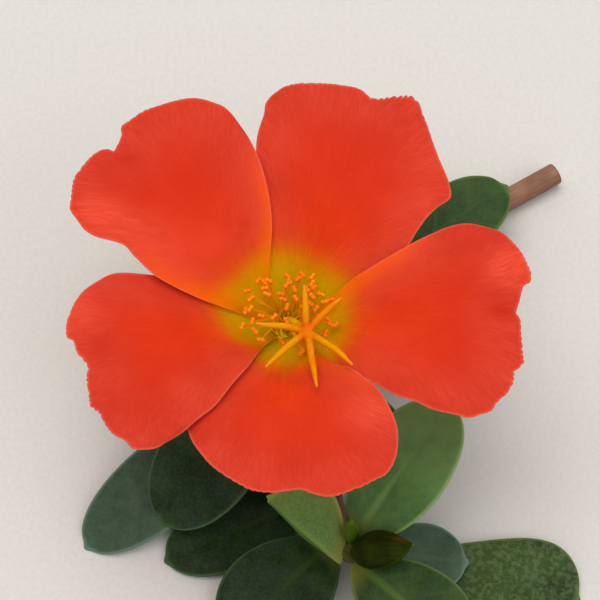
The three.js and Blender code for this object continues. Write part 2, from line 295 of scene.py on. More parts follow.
# A material, whose surface has the finish's roughness where no other is given.
class Skin(Nodes):
    def __init__(self, name, finish):
        self.material = bpy.data.materials.new(name)
        self.material.use_nodes = True
        super().__init__(self.material.node_tree, finish)
        self.surface = self.tree.nodes["Principled BSDF"]

    # Gives the surface its colour and sheen, and the relief of some heights with their weights.
    def cover(self, tint, *relief, roughness=None, depth=0.03):
        inputs = self.surface.inputs
        self.feed(inputs["Base Color"], tint)
        self.feed(inputs["Roughness"], roughness or self.finish["roughness"])
        inputs["Specular IOR Level"].default_value = self.finish["specular"]
        if relief:
            bump = self.add("Bump", {"Height": self.weighted(*relief), "Distance": depth * mm})
            self.feed(inputs["Normal"], bump.outputs[0])

    # Lets some of the light through a thin sheet, in the given colour.
    def letLightThrough(self, share, tint):
        glow = self.add("BsdfTranslucent", {"Color": tint})
        both = self.add("MixShader", {0: share, 1: self.surface.outputs[0], 2: glow.outputs[0]})
        self.feed(self.tree.nodes["Material Output"].inputs["Surface"], both.outputs[0])


# An effect that more than one material uses, with its inputs and its one result.
class Group(Nodes):
    def __init__(self, name, result, **inputs):
        super().__init__(bpy.data.node_groups.new(name, "ShaderNodeTree"), {})
        for label, value in inputs.items():
            self.newSocket(label, "INPUT").default_value = value
        self.newSocket(result, "OUTPUT")
        self.given = self.tree.nodes.new("NodeGroupInput").outputs
        self.result = self.tree.nodes.new("NodeGroupOutput").inputs[result]

    def newSocket(self, label, way):
        return self.tree.interface.new_socket(label, in_out=way, socket_type="NodeSocketFloat")

    # Where a point lies on its object, in steps of the given size in mm.
    def ownPlace(self):
        where = self.add("TexCoord").outputs["Object"]
        return {"Vector": where, "Scale": self.maths("DIVIDE", 1 / mm, self.given["size"])}

    def give(self, value):
        self.feed(self.result, value)
        return self


# Fine lines that run along a surface: 'across' and 'along' are its own measures in mm.
def makeFineLines():
    group = Group("fineLines", "mask", across=0, along=0, spacing=0.5, length=5)
    where = group.add("CombineXYZ", {
        "X": group.maths("DIVIDE", group.given["across"], group.given["spacing"]),
        "Y": group.maths("DIVIDE", group.given["along"], group.given["length"]),
    })
    strokes = {"Vector": where.outputs[0], "Scale": 1.0, "Detail": 3.0, "Roughness": 0.6}
    return group.give(group.between(group.add("TexNoise", strokes).outputs["Fac"], 0.32, 0.68))


# Soft patches of the given size in mm.
def makeSoftPatches():
    group = Group("softPatches", "mask", size=5, seed=0)
    inputs = {**group.ownPlace(), "W": group.given["seed"], "Detail": 2.0}
    patches = group.add("TexNoise", inputs, noise_dimensions="4D")
    return group.give(group.between(patches.outputs["Fac"], 0.35, 0.65))


# Small round dots, on a share of the cells that the surface is divided into.
def makeSpeckles():
    group = Group("speckles", "mask", size=0.3, share=0.4)
    cells = group.add("TexVoronoi", group.ownPlace())
    dots = group.between(cells.outputs["Distance"], 0.15, 0.45, 1.0, 0.0)
    chance = group.add("SeparateColor", {0: cells.outputs["Color"]}).outputs[0]
    return group.give(group.times(dots, group.maths("LESS_THAN", chance, group.given["share"])))


# The swollen cells of a plant's skin, as a height.
def makeSkinCells():
    group = Group("skinCells", "height", size=0.12)
    cells = group.add("TexVoronoi", group.ownPlace(), feature="SMOOTH_F1")
    return group.give(group.maths("SUBTRACT", 1.0, cells.outputs["Distance"]))


fineLines = makeFineLines()
softPatches = makeSoftPatches()
speckles = makeSpeckles()
skinCells = makeSkinCells()

view = {"elevation": 62, "distance": 250, "lens": 150, "sensor": 36, "right": 1.5, "upward": 3.2}


def addCamera():
    tilt = math.radians(view["elevation"])
    back = np.array([0, -math.cos(tilt), math.sin(tilt)])
    upward = np.array([0, math.sin(tilt), math.cos(tilt)])
    spot = np.array([view["right"], 0, flower["height"]]) + view["upward"] * upward + view["distance"] * back
    camera = addObject("camera", bpy.data.cameras.new("camera"))
    camera.data.lens = view["lens"]
    camera.data.sensor_width = view["sensor"]
    camera.data.clip_start = 0.01
    camera.location = place(spot)
    camera.rotation_euler = (math.radians(90 - view["elevation"]), 0, 0)
    bpy.context.scene.camera = camera


studio = {
    "skyColour": "F9F8F7", "skyStrength": 0.86,
    "keyLight": {"power": 2.03, "size": 0.5, "spot": (-80, 90, 620), "tint": "FFFAF2"},
    "fillLight": {"power": 0.54, "size": 0.4, "spot": (350, -250, 400), "tint": "F8FAFF"},
    "floorDark": "C7C5C0", "floorLight": "CBC9C5", "floorReach": 1500, "roughness": 0.8, "specular": 0.5,
}


def addLight(name):
    light = studio[name]
    data = bpy.data.lights.new(name, "AREA")
    data.shape = "DISK"
    data.energy = light["power"]
    data.size = light["size"]
    data.color = colour(light["tint"])[:3]
    lamp = addObject(name, data)
    lamp.location = place(light["spot"])
    aim = Vector(place((0, 0, flower["height"])) - place(light["spot"]))
    lamp.rotation_euler = aim.to_track_quat("-Z", "Y").to_euler()


def addStudio():
    scene = bpy.context.scene
    scene.world = bpy.data.worlds.new("studio")
    scene.world.use_nodes = True
    sky = scene.world.node_tree.nodes["Background"]
    sky.inputs["Color"].default_value = colour(studio["skyColour"])
    sky.inputs["Strength"].default_value = studio["skyStrength"]
    addLight("keyLight")
    addLight("fillLight")
    scene.view_settings.view_transform = "Standard"
    scene.view_settings.look = "None"


def addFloor():
    skin = Skin("paleFloor", studio)
    skin.cover(skin.mixed(skin.use(softPatches, size=0.5), "floorDark", "floorLight"))
    far = studio["floorReach"] * mm
    mesh = bpy.data.meshes.new("floor")
    mesh.from_pydata([(-far, -far, 0), (far, -far, 0), (far, far, 0), (-far, far, 0)], [], [(0, 1, 2, 3)])
    mesh.materials.append(skin.material)
    floor = addObject("floor", mesh)


addCamera()
addStudio()
addFloor()
print("camera, light and floor are set")

# The five petals share one bowl. Seen from above, an outline is a row of [angle in degrees, distance from
# the axis]: 'from' leads up to where the rim starts, and 'to' to where it ends. 'over' is 1 at a margin
# that lies over its neighbour and -1 at one that lies under. A crease is [angle, depth, width, length],
# and an area of painted light, or of painted shade where its strength is negative, is [angle, distance,
# size, strength]. 'eye' is how far the yellow runs up the bowl beside the margin before, in the middle and
# beside the margin after, and 'lit' the painted glow along those two margins, as [strength, width]. The
# stretches of rim with the deepest teeth are [angle, spread, depth].
petalForm = {
    "bowlDepth": 13.2, "bowlTurn": 11.5, "bowlReach": 30, "foot": 1.5, "thickness": 0.2,
    "marginThickness": 0.05, "marginWidth": 1.5, "layerLift": 0.15, "layerGrowth": 0.024,
    "rimDrop": 0.7, "dropFrom": 0.8, "across": 280, "along": 88, "crowding": 0.4, "creaseEnd": 23,
    "pleats": [(15, 0.1), (8, 0.06), (4.4, 0.035), (2.6, 0.014)], "veinSpread": 20, "eye": 9.5,
    "toothWidth": 0.7, "toothDepth": 0.03, "toothSharpness": 1.5, "toothWander": 2.6, "toothUneven": 0.35,
    # 'litUntil' is where the painted glow along the margins fades out.
    "teethFrom": 0.9, "litUntil": (11, 17),
}
petals = {
    "petal_top_left": {
        "from": [[108, 1.7], [109.6, 4.6], [103, 6.35], [98.6, 8.7], [98.4, 11.6], [100.4, 14.7]],
        "rim": [
            [105, 18.95], [107.2, 20.3], [109.9, 21.13], [113.7, 22.3], [118.2, 22.97], [122.7, 23.45],
            [126.6, 23.75], [130.8, 23.6], [133.7, 23.5], [135.1, 22.85], [136.9, 22.45], [138.3, 22.3],
            [139.5, 22.2], [140.1, 22.75], [141.9, 23.2], [145.6, 23.5], [150.5, 23.5], [153.4, 23.24],
            [157.4, 22.64], [160.2, 22.25], [162.6, 21.1], [164.4, 20.15],
        ],
        "to": [[182, 1.7], [183.2, 5.2], [180.2, 8.5], [174.3, 12.66], [168.4, 15.03], [165.8, 16.06],
               [165.4, 17.54], [165.3, 18.9]],
        "over": (1, 1), "ruffle": (2.2, 0.4, 0.35), "lit": ([1.0, 1.2], [1.0, 2.0]), "eye": (8.6, 8.0, 9.2),
        "seed": 1, "creases": [[139, 0.3, 0.9, 6]], "teeth": [[128, 5, 0.05], [152, 7, 0.09]],
        "litAndShadedAreas": [[157, 20, 3.0, 0.8], [163, 14, 4, 0.8], [149, 21.5, 2.2, -0.6], [138.5, 20.4, 1.4, -0.6],
                  [113, 20.5, 4, 0.3], [140, 9, 2.5, 0.4]],
    },
    "petal_top": {
        "from": [[20, 1.7], [14, 6], [18, 11], [23.5, 13.38], [26.4, 14.41], [28.8, 15.71], [30.6, 17.25]],
        "rim": [
            [31.3, 18.9], [34.1, 19.5], [37.6, 19.97], [45.6, 21.19], [52, 22.74], [56.4, 23.9],
            [58.2, 23.95], [60.7, 23.64], [63.5, 23.15], [65.5, 22.85], [67.7, 22.62], [69.8, 22.98],
            [71.8, 23.15], [77.1, 22.87], [82.7, 22.63], [89.3, 22.5], [91.4, 22.15], [93.7, 21.6],
            [95.4, 20.74],
        ],
        "to": [[111, 1.7], [110, 6], [107, 10], [102.2, 14], [100.6, 15.62], [99.4, 16.98], [98, 18.04],
               [96.1, 19.55]],
        "over": (-1, -1), "ruffle": (2.6, 1.2, 0.4), "lit": ([0, 1], [0, 1]), "eye": (9.3, 8.1, 9.0),
        "seed": 2, "creases": [[65, 0.2, 1.0, 5], [46, 0.1, 1.0, 4]],
        "teeth": [[61, 6, 0.3], [84, 6, 0.06]],
        "litAndShadedAreas": [[62, 13, 4, -0.15], [38, 17.5, 4, 0.4], [90, 18, 4, 0.2], [50, 21, 2.5, 0.2]],
    },
    "petal_right": {
        "from": [[-61, 1.7], [-63, 5], [-56, 9.2], [-49.2, 12.8], [-48.4, 14], [-47.8, 15.36], [-46.6, 16.43],
                 [-44.8, 17.62]],
        "rim": [
            [-43.1, 19.32], [-40.5, 20.98], [-39.1, 22.1], [-36.9, 22.77], [-34.7, 23.53], [-32.9, 23.6],
            [-30.1, 24.05], [-27.1, 24.14], [-24.5, 23.95], [-23.2, 24.25], [-22.2, 24.34], [-19.7, 24],
            [-14.8, 23.26], [-10.3, 22.78], [-8.4, 22.3], [-5.1, 22.55], [-2.1, 23.06], [-1.6, 23.57],
            [0.4, 23.68], [2.9, 23.45], [6.1, 23.1], [10.2, 22.4], [13, 21.87], [15.2, 21.25],
        ],
        "to": [[24, 1.7], [17, 5.3], [20.4, 6.9], [20.8, 8.5], [20.9, 11.3], [21.2, 13.5], [21.1, 15.3],
               [20.7, 17.07], [19.4, 18.82], [17.3, 20.22]],
        "over": (-1, 1), "ruffle": (2.2, 2.4, 0.4), "lit": ([0, 1], [1.0, 1.5]), "eye": (10.6, 9.1, 8.6),
        "seed": 3, "creases": [[-6.5, 0.45, 1.0, 7], [-22, 0.1, 0.8, 4]],
        "teeth": [[-22, 10, 0.16], [3, 5, 0.08]],
        "litAndShadedAreas": [[2, 22, 2.6, 1.2], [-8, 20.8, 1.8, -0.8], [12, 19, 3, -0.4], [-25, 11, 3, 0.3]],
    },
    "petal_bottom": {
        "from": [[240, 1.7], [236, 4.5], [233, 8], [234, 12.5], [236.5, 16]],
        "rim": [
            [238.8, 17.3], [242.3, 18.32], [246, 19.14], [250.8, 20.08], [255.3, 20.8], [259.7, 21.57],
            [262.3, 21.96], [267.3, 22.26], [271, 22.08], [274.1, 22.01], [276.6, 22.65], [279.4, 23.2],
            [283.2, 23.36], [288, 22.99], [292.1, 22.6], [294.6, 22.45], [297.2, 21.92], [300.1, 20.91],
        ],
        "to": [[305, 1.7], [303.8, 8.95], [308, 10.3], [308.7, 12.34], [308.6, 14.4], [307.6, 15.62],
               [305.9, 17.31], [304.1, 18.9], [302.1, 19.98]],
        "over": (-1, 1), "ruffle": (1.8, 0.9, 0.3), "lit": ([0, 1], [0.5, 1.4]), "eye": (8.2, 9.7, 9.3),
        "seed": 4, "creases": [[273.5, 0.25, 1.1, 5]], "teeth": [[262, 10, 0.07], [287, 6, 0.1]],
        "litAndShadedAreas": [[301, 16, 3.0, 0.7], [243, 17, 2.5, -0.6], [266, 15, 4, 0.2], [272, 20, 2.4, -0.6]],
    },
    "petal_left": {
        "from": [[176, 1.7], [169, 5], [168, 9], [171.3, 12.39], [172.3, 13.79], [173.3, 15.21],
                 [174.8, 16.67]],
        "rim": [
            [178, 18.02], [180.7, 19.08], [184, 19.86], [189.2, 20.74], [194.3, 21.39], [196.6, 21.5],
            [198.2, 21.04], [201.3, 21.04], [203.5, 20.72], [205.7, 20.6], [209.4, 21.33], [213.5, 21.9],
            [216.4, 22.49], [219.4, 22.43], [222.8, 22.85], [226.7, 23.14], [230.2, 22.76], [232.2, 22.85],
            [235.9, 21.48], [237, 20.4], [238.3, 19.15],
        ],
        "to": [[246, 1.7], [243, 4.82], [244.8, 8.18], [244, 11.05], [243.2, 14.5], [240.5, 17.1],
               [239.5, 18.1]],
        "over": (-1, 1), "ruffle": (2.4, 3.1, 0.35), "lit": ([0, 1], [0.3, 1.2]), "eye": (9.2, 8.6, 7.0),
        "seed": 5, "creases": [[203, 0.3, 1.2, 5]], "teeth": [[214, 13, 0.15], [188, 5, 0.05]],
        "litAndShadedAreas": [[189, 20, 2.4, 1.0], [201, 18.8, 2, -0.7], [230, 14, 4, 0.3], [218, 21, 3, -0.2]],
    },
}


def bowlHeight(distance):
    return petalForm["bowlDepth"] * (1 - np.exp(-distance / petalForm["bowlTurn"]))


# The way from the axis to a point of the bowl, measured along its slope.
def wayUpBowl(distance):
    steps = np.linspace(0, petalForm["bowlReach"], 301)
    travelled = np.concatenate([[0], np.cumsum(np.hypot(np.diff(steps), np.diff(bowlHeight(steps))))])
    return np.interp(distance, steps, travelled)


# The petal seen from above, filled in between its four edges.
def petalPlan(petal, u, v):
    rimPath = [polar(*spot) for spot in petal["rim"]]
    startPath = [polar(*spot) for spot in petal["from"]] + rimPath[:1]
    endPath = [polar(*spot) for spot in petal["to"]] + rimPath[-1:]
    middle = polar((petal["from"][0][0] + petal["to"][0][0]) / 2, petalForm["foot"])
    foot = splineAt([startPath[0], middle, endPath[0]], u)[None]
    rim = evenSplineAt(rimPath, u, startPath[-2], endPath[-2])[None]
    start = evenSplineAt(startPath, v, after=rimPath[1])[:, None]
    end = evenSplineAt(endPath, v, after=rimPath[-2])[:, None]
    across = u[None, :, None]
    along = v[:, None, None]
    sides = (1 - along) * foot + along * rim + (1 - across) * start + across * end
    corners = ((1 - along) * ((1 - across) * foot[:, :1] + across * foot[:, -1:])
               + along * ((1 - across) * rim[:, :1] + across * rim[:, -1:]))
    return sides - corners


# How far each column's rim is set back by its small uneven teeth.
def rimSetBack(petal, rim, angle):
    steps = np.linalg.norm(np.diff(rim, axis=0), axis=1)
    way = np.concatenate([[0], np.cumsum(steps)])
    places = np.outer(way, [1, 0, 0])
    uneven = unevenness(places, petalForm["toothWander"], petal["seed"] + 20)
    tooth = np.abs(np.sin(np.pi * (way / petalForm["toothWidth"] + 0.5 * uneven)))
    depth = petalForm["toothDepth"] + sum(
        deepest * np.exp(-((angle - at) / spread) ** 2) for at, spread, deepest in petal["teeth"])
    return depth * ((1 - tooth) ** petalForm["toothSharpness"] + petalForm["toothUneven"] * uneven)


def petalLift(petal, u, v, distance, fan, angle):
    over = np.where(u < 0.5, *petal["over"])
    layer = over * np.cos(np.pi * u) ** 2 * (petalForm["layerLift"] + petalForm["layerGrowth"] * distance)
    waves, phase, height = petal["ruffle"]
    ruffle = height * v**3 * np.sin(waves * 2 * np.pi * u + phase)
    nearCorner = smooth(np.abs(u - 0.5), 0.2, 0.5)
    drop = petalForm["rimDrop"] * smooth(v, petalForm["dropFrom"], 1) * (0.5 + 0.5 * nearCorner)
    lift = layer + ruffle - drop
    chance = np.random.default_rng(petal["seed"] + 50)
    for width, depth in petalForm["pleats"]:
        lift += depth * v**1.5 * np.sin(2 * np.pi * fan / width + chance.uniform(0, 2 * np.pi))
    for at, depth, width, length in petal["creases"]:
        offset = np.radians(angle - at) * distance / width
        lift -= depth * np.exp(-offset**2) * smooth(
            distance, petalForm["creaseEnd"] - length, petalForm["creaseEnd"])
    return lift


# Painted light on the petal (above 0) and painted shade (below 0), from its areas.
def paintedLightAndShade(petal, x, y):
    light = np.zeros_like(x)
    for degrees, distance, size, strength in petal["litAndShadedAreas"]:
        areaX, areaY = polar(degrees, distance)
        light += strength * np.exp(-((x - areaX) ** 2 + (y - areaY) ** 2) / size**2)
    return light


def petalSurface(petal):
    steps = np.linspace(0, 1, petalForm["across"] + 1)
    across = steps + petalForm["crowding"] * (0.5 - 0.5 * np.cos(np.pi * steps) - steps)
    along = 1 - (1 - np.linspace(0, 1, petalForm["along"] + 1)) ** 1.4
    plan = petalPlan(petal, across, along)
    u, v = np.meshgrid(across, along)
    middle = (petal["rim"][0][0] + petal["rim"][-1][0]) / 2
    angle = np.degrees(np.arctan2(plan[..., 1], plan[..., 0]))
    angle = middle + (angle - middle + 180) % 360 - 180
    distance = np.hypot(plan[..., 0], plan[..., 1])
    distance -= rimSetBack(petal, plan[-1], angle[-1]) * smooth(v, petalForm["teethFrom"], 1) ** 1.5
    spread = petalForm["veinSpread"]
    fan = np.radians(angle - middle) * spread * np.exp(1 - distance / spread)
    x = distance * np.cos(np.radians(angle))
    y = distance * np.sin(np.radians(angle))
    slope = petalForm["bowlDepth"] / petalForm["bowlTurn"] * np.exp(-distance / petalForm["bowlTurn"])
    normal = unit(np.stack([-slope * x / distance, -slope * y / distance, np.ones_like(x)], axis=-1))
    surface = np.stack([x, y, flower["height"] + bowlHeight(distance)], axis=-1)
    surface += normal * petalLift(petal, u, v, distance, fan, angle)[..., None]
    eye = np.interp(u, [0, 0.5, 1], petal["eye"])
    readings = {
        "reach": wayUpBowl(distance) * petalForm["eye"] / eye,
        "fan": fan + petal["seed"] * 50,
        # Painted light and painted shade from the petal's areas.
        "light": paintedLightAndShade(petal, x, y),
        # The painted glow near the margins.
        "lit": 1 - smooth(distance, *petalForm["litUntil"]),
    }
    return surface, readings


# The thickness of a petal at each of its points, which are some way from its margin.
def petalThickness(margin):
    thin = petalForm["marginThickness"]
    return thin + smooth(margin, 0, petalForm["marginWidth"]) * (petalForm["thickness"] - thin)


def petalSolid(petal):
    surface, readings = petalSurface(petal)
    toRim = nearest(surface, surface[-1])
    sides = [nearest(surface, surface[:, column]) for column in (0, -1)]
    readings["margin"] = np.minimum(toRim, np.minimum(*sides))
    # The painted glow fades away from the two margins.
    readings["lit"] *= sum(strength * np.exp(-(away / width) ** 2)
                           for away, (strength, width) in zip(sides, petal["lit"]))
    facing = unit(np.cross(np.gradient(surface, axis=1), np.gradient(surface, axis=0)))
    facing *= np.sign(facing[..., 2:])
    half = facing * petalThickness(readings["margin"])[..., None] / 2
    both = {label: np.concatenate([values.ravel()] * 2) for label, values in readings.items()}
    both["under"] = np.repeat([0.0, 1.0], toRim.size)
    points = np.concatenate([(surface + half).reshape(-1, 3), (surface - half).reshape(-1, 3)])
    return points, sheetFaces(*toRim.shape), both


# In this finish and the others, a band is a soft step: from, to, and the shares at its two ends.
petalFinish = {
    # The eye's yellows near the foot are paler than its own colour: painted light that lifts the shade deep
    # in the bowl.
    "rings": [(0, "FAF604"), (4, "F8E200"), (7, "E8BC00"), (8.2, "E09600"), (9.2, "E27400"), (10.3, "EA5804"),
              (12, "E8440E"), (15, "DF3B14"), (22, "D33719"), (30, "CA341B")],
    # 'litRings' are the colours of the painted glow along the margins.
    "litRings": [(0, "FFB400"), (8, "FF8A00"), (11, "F86606"), (14, "F2581C"), (30, "EE5038")],
    # F45A40 is painted light, and BE260C is deeper dye with painted shade; both are laid on by the petals'
    # areas.
    "coral": "DA5442", "paintedLight": "F45A40", "rim": "E6826C", "vein": "BC220A", "deepAndShaded": "BE260C",
    "back": "DA7056", "backEye": "C4A03C", "backShare": 0.55, "throughEye": "FFDC00", "through": "FF4A14",
    "feather": 1.1, "outsideEye": (8.5, 12.0), "strokeBand": (0.0, 1.0, 0.8, 1.1),
    # Of these bands, the two that read the areas give the shares of painted light and painted shade.
    "coralBand": (0.5, 6.5, 0.5, 0.0), "brightBand": (0.0, 1.0, 0.0, 0.8), "deepBand": (-1.0, 0.0, 0.7, 0.0),
    "patches": 0.25, "veinBand": (0.3, 7.0, 0.4, 0.15), "rimBand": (0.04, 0.3, 0.3, 0.0),
    "throughBand": (4.0, 12.0, 0.6, 0.25), "gloss": (0.0, 1.0, 0.46, 0.58), "specular": 0.06,
}


def petalMaterial():
    skin = Skin("petalSatin", petalFinish)
    reach, fan, margin, light, lit, under = skin.read("reach fan margin light lit under")
    broad = skin.use(fineLines, across=fan, along=reach, spacing=0.7, length=8.0)
    fine = skin.use(fineLines, across=fan, along=reach, spacing=0.2, length=1.6)
    feather = skin.times(skin.maths("SUBTRACT", broad, 0.5), petalFinish["feather"])
    outside = skin.band(reach, "outsideEye")
    strokes = skin.times(skin.band(broad, "strokeBand"), outside)
    patches = skin.times(skin.use(softPatches, size=5.0, seed=3.0), petalFinish["patches"])
    # Deeper dye at random, with painted shade where an area is negative.
    deepAndShaded = skin.maths("ADD", patches, skin.band(light, "deepBand"))
    veins = skin.times(fine, skin.band(margin, "veinBand"))
    tint = skin.layered(
        skin.ramp(skin.maths("ADD", reach, feather), "rings"),
        (skin.times(skin.band(margin, "coralBand"), strokes), "coral"),
        # Painted light where an area is positive.
        (skin.times(skin.band(light, "brightBand"), strokes), "paintedLight"),
        (skin.times(deepAndShaded, outside), "deepAndShaded"),
        (skin.times(veins, outside), "vein"),
        # The painted glow along the margins.
        (lit, skin.ramp(reach, "litRings")),
        (skin.times(skin.band(margin, "rimBand"), outside), "rim"),
        (skin.times(under, petalFinish["backShare"]), skin.mixed(outside, "backEye", "back")),
    )
    relief = [(broad, 0.6), (fine, 0.5), (skin.use(skinCells, size=0.09), 0.2)]
    skin.cover(tint, *relief, roughness=skin.band(broad, "gloss"), depth=0.032)
    skin.letLightThrough(skin.band(reach, "throughBand"), skin.mixed(outside, "throughEye", "through"))
    return skin.material


petalSatin = petalMaterial()
for name, petal in petals.items():
    addPiece(name + "_sheet", [name], petalSolid(petal), [petalSatin])
print("petals made")

# Leaves and sepals are blades that run from foot to tip on a midline 'arch' above the straight line.
# 'ribRun' is where the midrib fades before the tip, and 'broad' the half width at which a blade is full.
bladeForm = {
    "rings": 70, "sides": 56, "tipRoundness": 0.5, "stalkWidth": 0.14, "edge": 0.8, "ends": 0.4,
    "groove": 0.14, "keel": 0.16, "ribWidth": 0.45, "ribRun": (0.02, 0.3), "broad": (0.5, 2), "wave": 0.12,
    "waves": 1.6, "cup": 0.35, "point": 0.35, "pointWidth": 0.5, "uneven": 0.05, "unevenSize": 3.5,
    "floorGap": 0.02,
}
bladeDefaults = {"thickness": 1.15, "taper": 0.75, "arch": 0, "roll": 0, "fold": 0, "seat": 0.45, "seed": 0}
leafStart = 1.55  # distance of a whorl leaf's foot from the flower's axis
whorlLow = 7.6
whorlHigh = 9.2


def blade(foot, tip, width, **more):
    return {**bladeDefaults, "foot": foot, "tip": tip, "width": width, **more}


def whorlBlade(degrees, footHeight, length, width, tipHeight, arch, **more):
    foot = polar(degrees, leafStart, footHeight)
    tip = polar(degrees, leafStart + length, tipHeight)
    return blade(foot, tip, width, arch=arch, **more)


# Leaves in shadow take the deep, dark or shaded look: painted shade.
leaves = {
    "whorl_leaf_1": whorlBlade(128, whorlLow, 18, 8.6, 0.05, -0.6, seed=1, look="shaded"),
    "whorl_leaf_2": whorlBlade(182, whorlHigh, 17, 8, 5.2, 0.9, seed=2, look="shaded"),
    "whorl_leaf_3": whorlBlade(231, whorlLow, 18, 10.4, 1.8, 0.9, seed=3, look="dark"),
    "whorl_leaf_4": whorlBlade(284, whorlHigh, 12, 7.2, 6.6, 0.9, seed=4, look="dark"),
    "whorl_leaf_5": whorlBlade(317, whorlLow, 16, 8.2, 4.8, 0.9, seed=5, look="deepAndShaded"),
    "whorl_leaf_6": whorlBlade(8, whorlHigh, 18, 8.2, 4.6, 0.9, seed=6, look="shaded"),
    "lower_leaf": blade([-1.6, -1.4, 4], [-20.2, -17, 0.05], 9, seed=7, look="glaucous"),
    "bud_leaf_folded": blade([5.2, -20.7, 5.4], [-1.6, -15.4, 8.8], 9.8, arch=0.2, roll=-55, fold=-50,
                             seed=8, look="yellowed"),
    "bud_leaf_upright": blade([7.6, -17.6, 5.8], [16.6, -7.2, 13.3], 9.4, taper=0.6, arch=0.8, seat=1.0,
                              seed=9, look="fresh"),
    "bud_leaf_low": blade([7.7, -19, 3.2], [18.2, -19.6, 2.3], 7.4, thickness=0.9, arch=0.1, seed=10,
                          look="glaucous"),
    "bud_leaf_front": blade([7, -20.8, 4.6], [18, -30, 0.05], 10.4, arch=1.5, seed=11, look="deepAndShaded"),
    "bud_leaf_right": blade([7.2, -17.6, 1.9], [29.5, -23, 0.3], 11, taper=2, arch=-0.3, seed=12,
                            look="speckled"),
    "bud_leaf_left": blade([4.8, -17.6, 2.3], [-5.4, -27.6, 0.05], 11, arch=1.1, seed=13, look="dark"),
    "side_leaf": blade([3.5, -12, 1.3], [-12, -18.6, 0.3], 8, thickness=1, seed=14, look="dark"),
    "stem_leaf": blade([9, 12, 2.6], [23.6, 22.4, 5.5], 8.4, arch=0.8, seed=15, look="deepAndShaded"),
}


# Half the width of a blade along its length, where 1 is its widest.
def bladeOutline(s, taper):
    widest = taper / (taper + bladeForm["tipRoundness"])
    body = (s / widest) ** taper * ((1 - s) / (1 - widest)) ** bladeForm["tipRoundness"]
    stalk = bladeForm["stalkWidth"] * np.minimum(1, s * 12) * np.sqrt(1 - s)
    return np.hypot(body, stalk)


def turned(vector, axis, degrees):
    angle = math.radians(degrees)
    return (vector * math.cos(angle) + np.cross(axis, vector) * math.sin(angle)
            + axis * (axis @ vector) * (1 - math.cos(angle)))


# A blade's foot and tip, its direction, the way up from its midline, and the ways across and out of it.
def bladeFrame(blade):
    foot = np.array(blade["foot"], float)
    tip = np.array(blade["tip"], float)
    along = unit(tip - foot)
    level = unit(np.cross(along, [0, 0, 1]))
    raised = np.cross(level, along)
    across = turned(level, along, blade["roll"])
    outward = turned(raised, along, blade["roll"])
    return foot - along * blade["seat"], tip, along, raised, across, outward


# How far the skin stands out from the middle line, where x and z run from -1 to 1 round each ring.
def bladeHeight(blade, s, x, z, half):
    side = x * half
    thin = blade["thickness"] / bladeDefaults["thickness"]
    broad = smooth(half, *bladeForm["broad"])
    depth = 0.5 * blade["thickness"] * np.sin(np.pi * s) ** bladeForm["ends"] * z
    rib = np.exp(-(side / bladeForm["ribWidth"]) ** 2) * smooth(1 - s, *bladeForm["ribRun"]) * broad
    groove = bladeForm["groove"] * smooth(z, 0, 0.8)
    keel = bladeForm["keel"] * smooth(-z, 0, 0.8)
    depth -= thin * rib * np.where(z > 0, groove, keel)
    phase = 2 * np.pi * bladeForm["waves"] * s + blade["seed"] * 2.1 + np.sign(x)
    wave = bladeForm["wave"] * np.sin(phase) * x**2
    cup = bladeForm["cup"] * x**2 * smooth(s, 0, 0.3) * thin
    return np.abs(side) * math.sin(math.radians(blade["fold"])) + depth + (wave + cup) * broad


def bladeSolid(blade):
    foot, tip, along, raised, across, outward = bladeFrame(blade)
    length = np.linalg.norm(tip - foot)
    s = crowdedShares(bladeForm["rings"])
    turn = ringTurns(bladeForm["sides"])[None]
    x = np.cos(turn)
    z = np.sign(np.sin(turn)) * np.abs(np.sin(turn)) ** bladeForm["edge"]
    half = 0.5 * blade["width"] * bladeOutline(s, blade["taper"])
    side = x * half
    height = bladeHeight(blade, s, x, z, half)
    middle = foot + (tip - foot) * s[..., None] + raised * (4 * blade["arch"] * s * (1 - s))[..., None]
    pointed = bladeForm["point"] * smooth(s, 0.9, 1) * np.exp(-(side / bladeForm["pointWidth"]) ** 2)
    body = (middle + across * (side * math.cos(math.radians(blade["fold"])))[..., None]
            + outward * height[..., None] + along * pointed[..., None])
    uneven = bladeForm["uneven"] * (blade["thickness"] / bladeDefaults["thickness"])
    body += outward * (uneven * unevenness(body, bladeForm["unevenSize"], blade["seed"]))[..., None]
    margin = np.minimum((1 - np.abs(x)) * half * 1.2, (1 - s) * length * 0.8)
    points, faces, readings = closedTube(
        body, [foot, tip + along * bladeForm["point"]], along=(s * length, 0, length), across=(side, 0, 0),
        margin=(margin, 0, 0), upper=(smooth(z, -0.3, 0.3), 0.5, 0.5))
    points[:, 2] = np.maximum(points[:, 2], bladeForm["floorGap"])
    return points, faces, readings


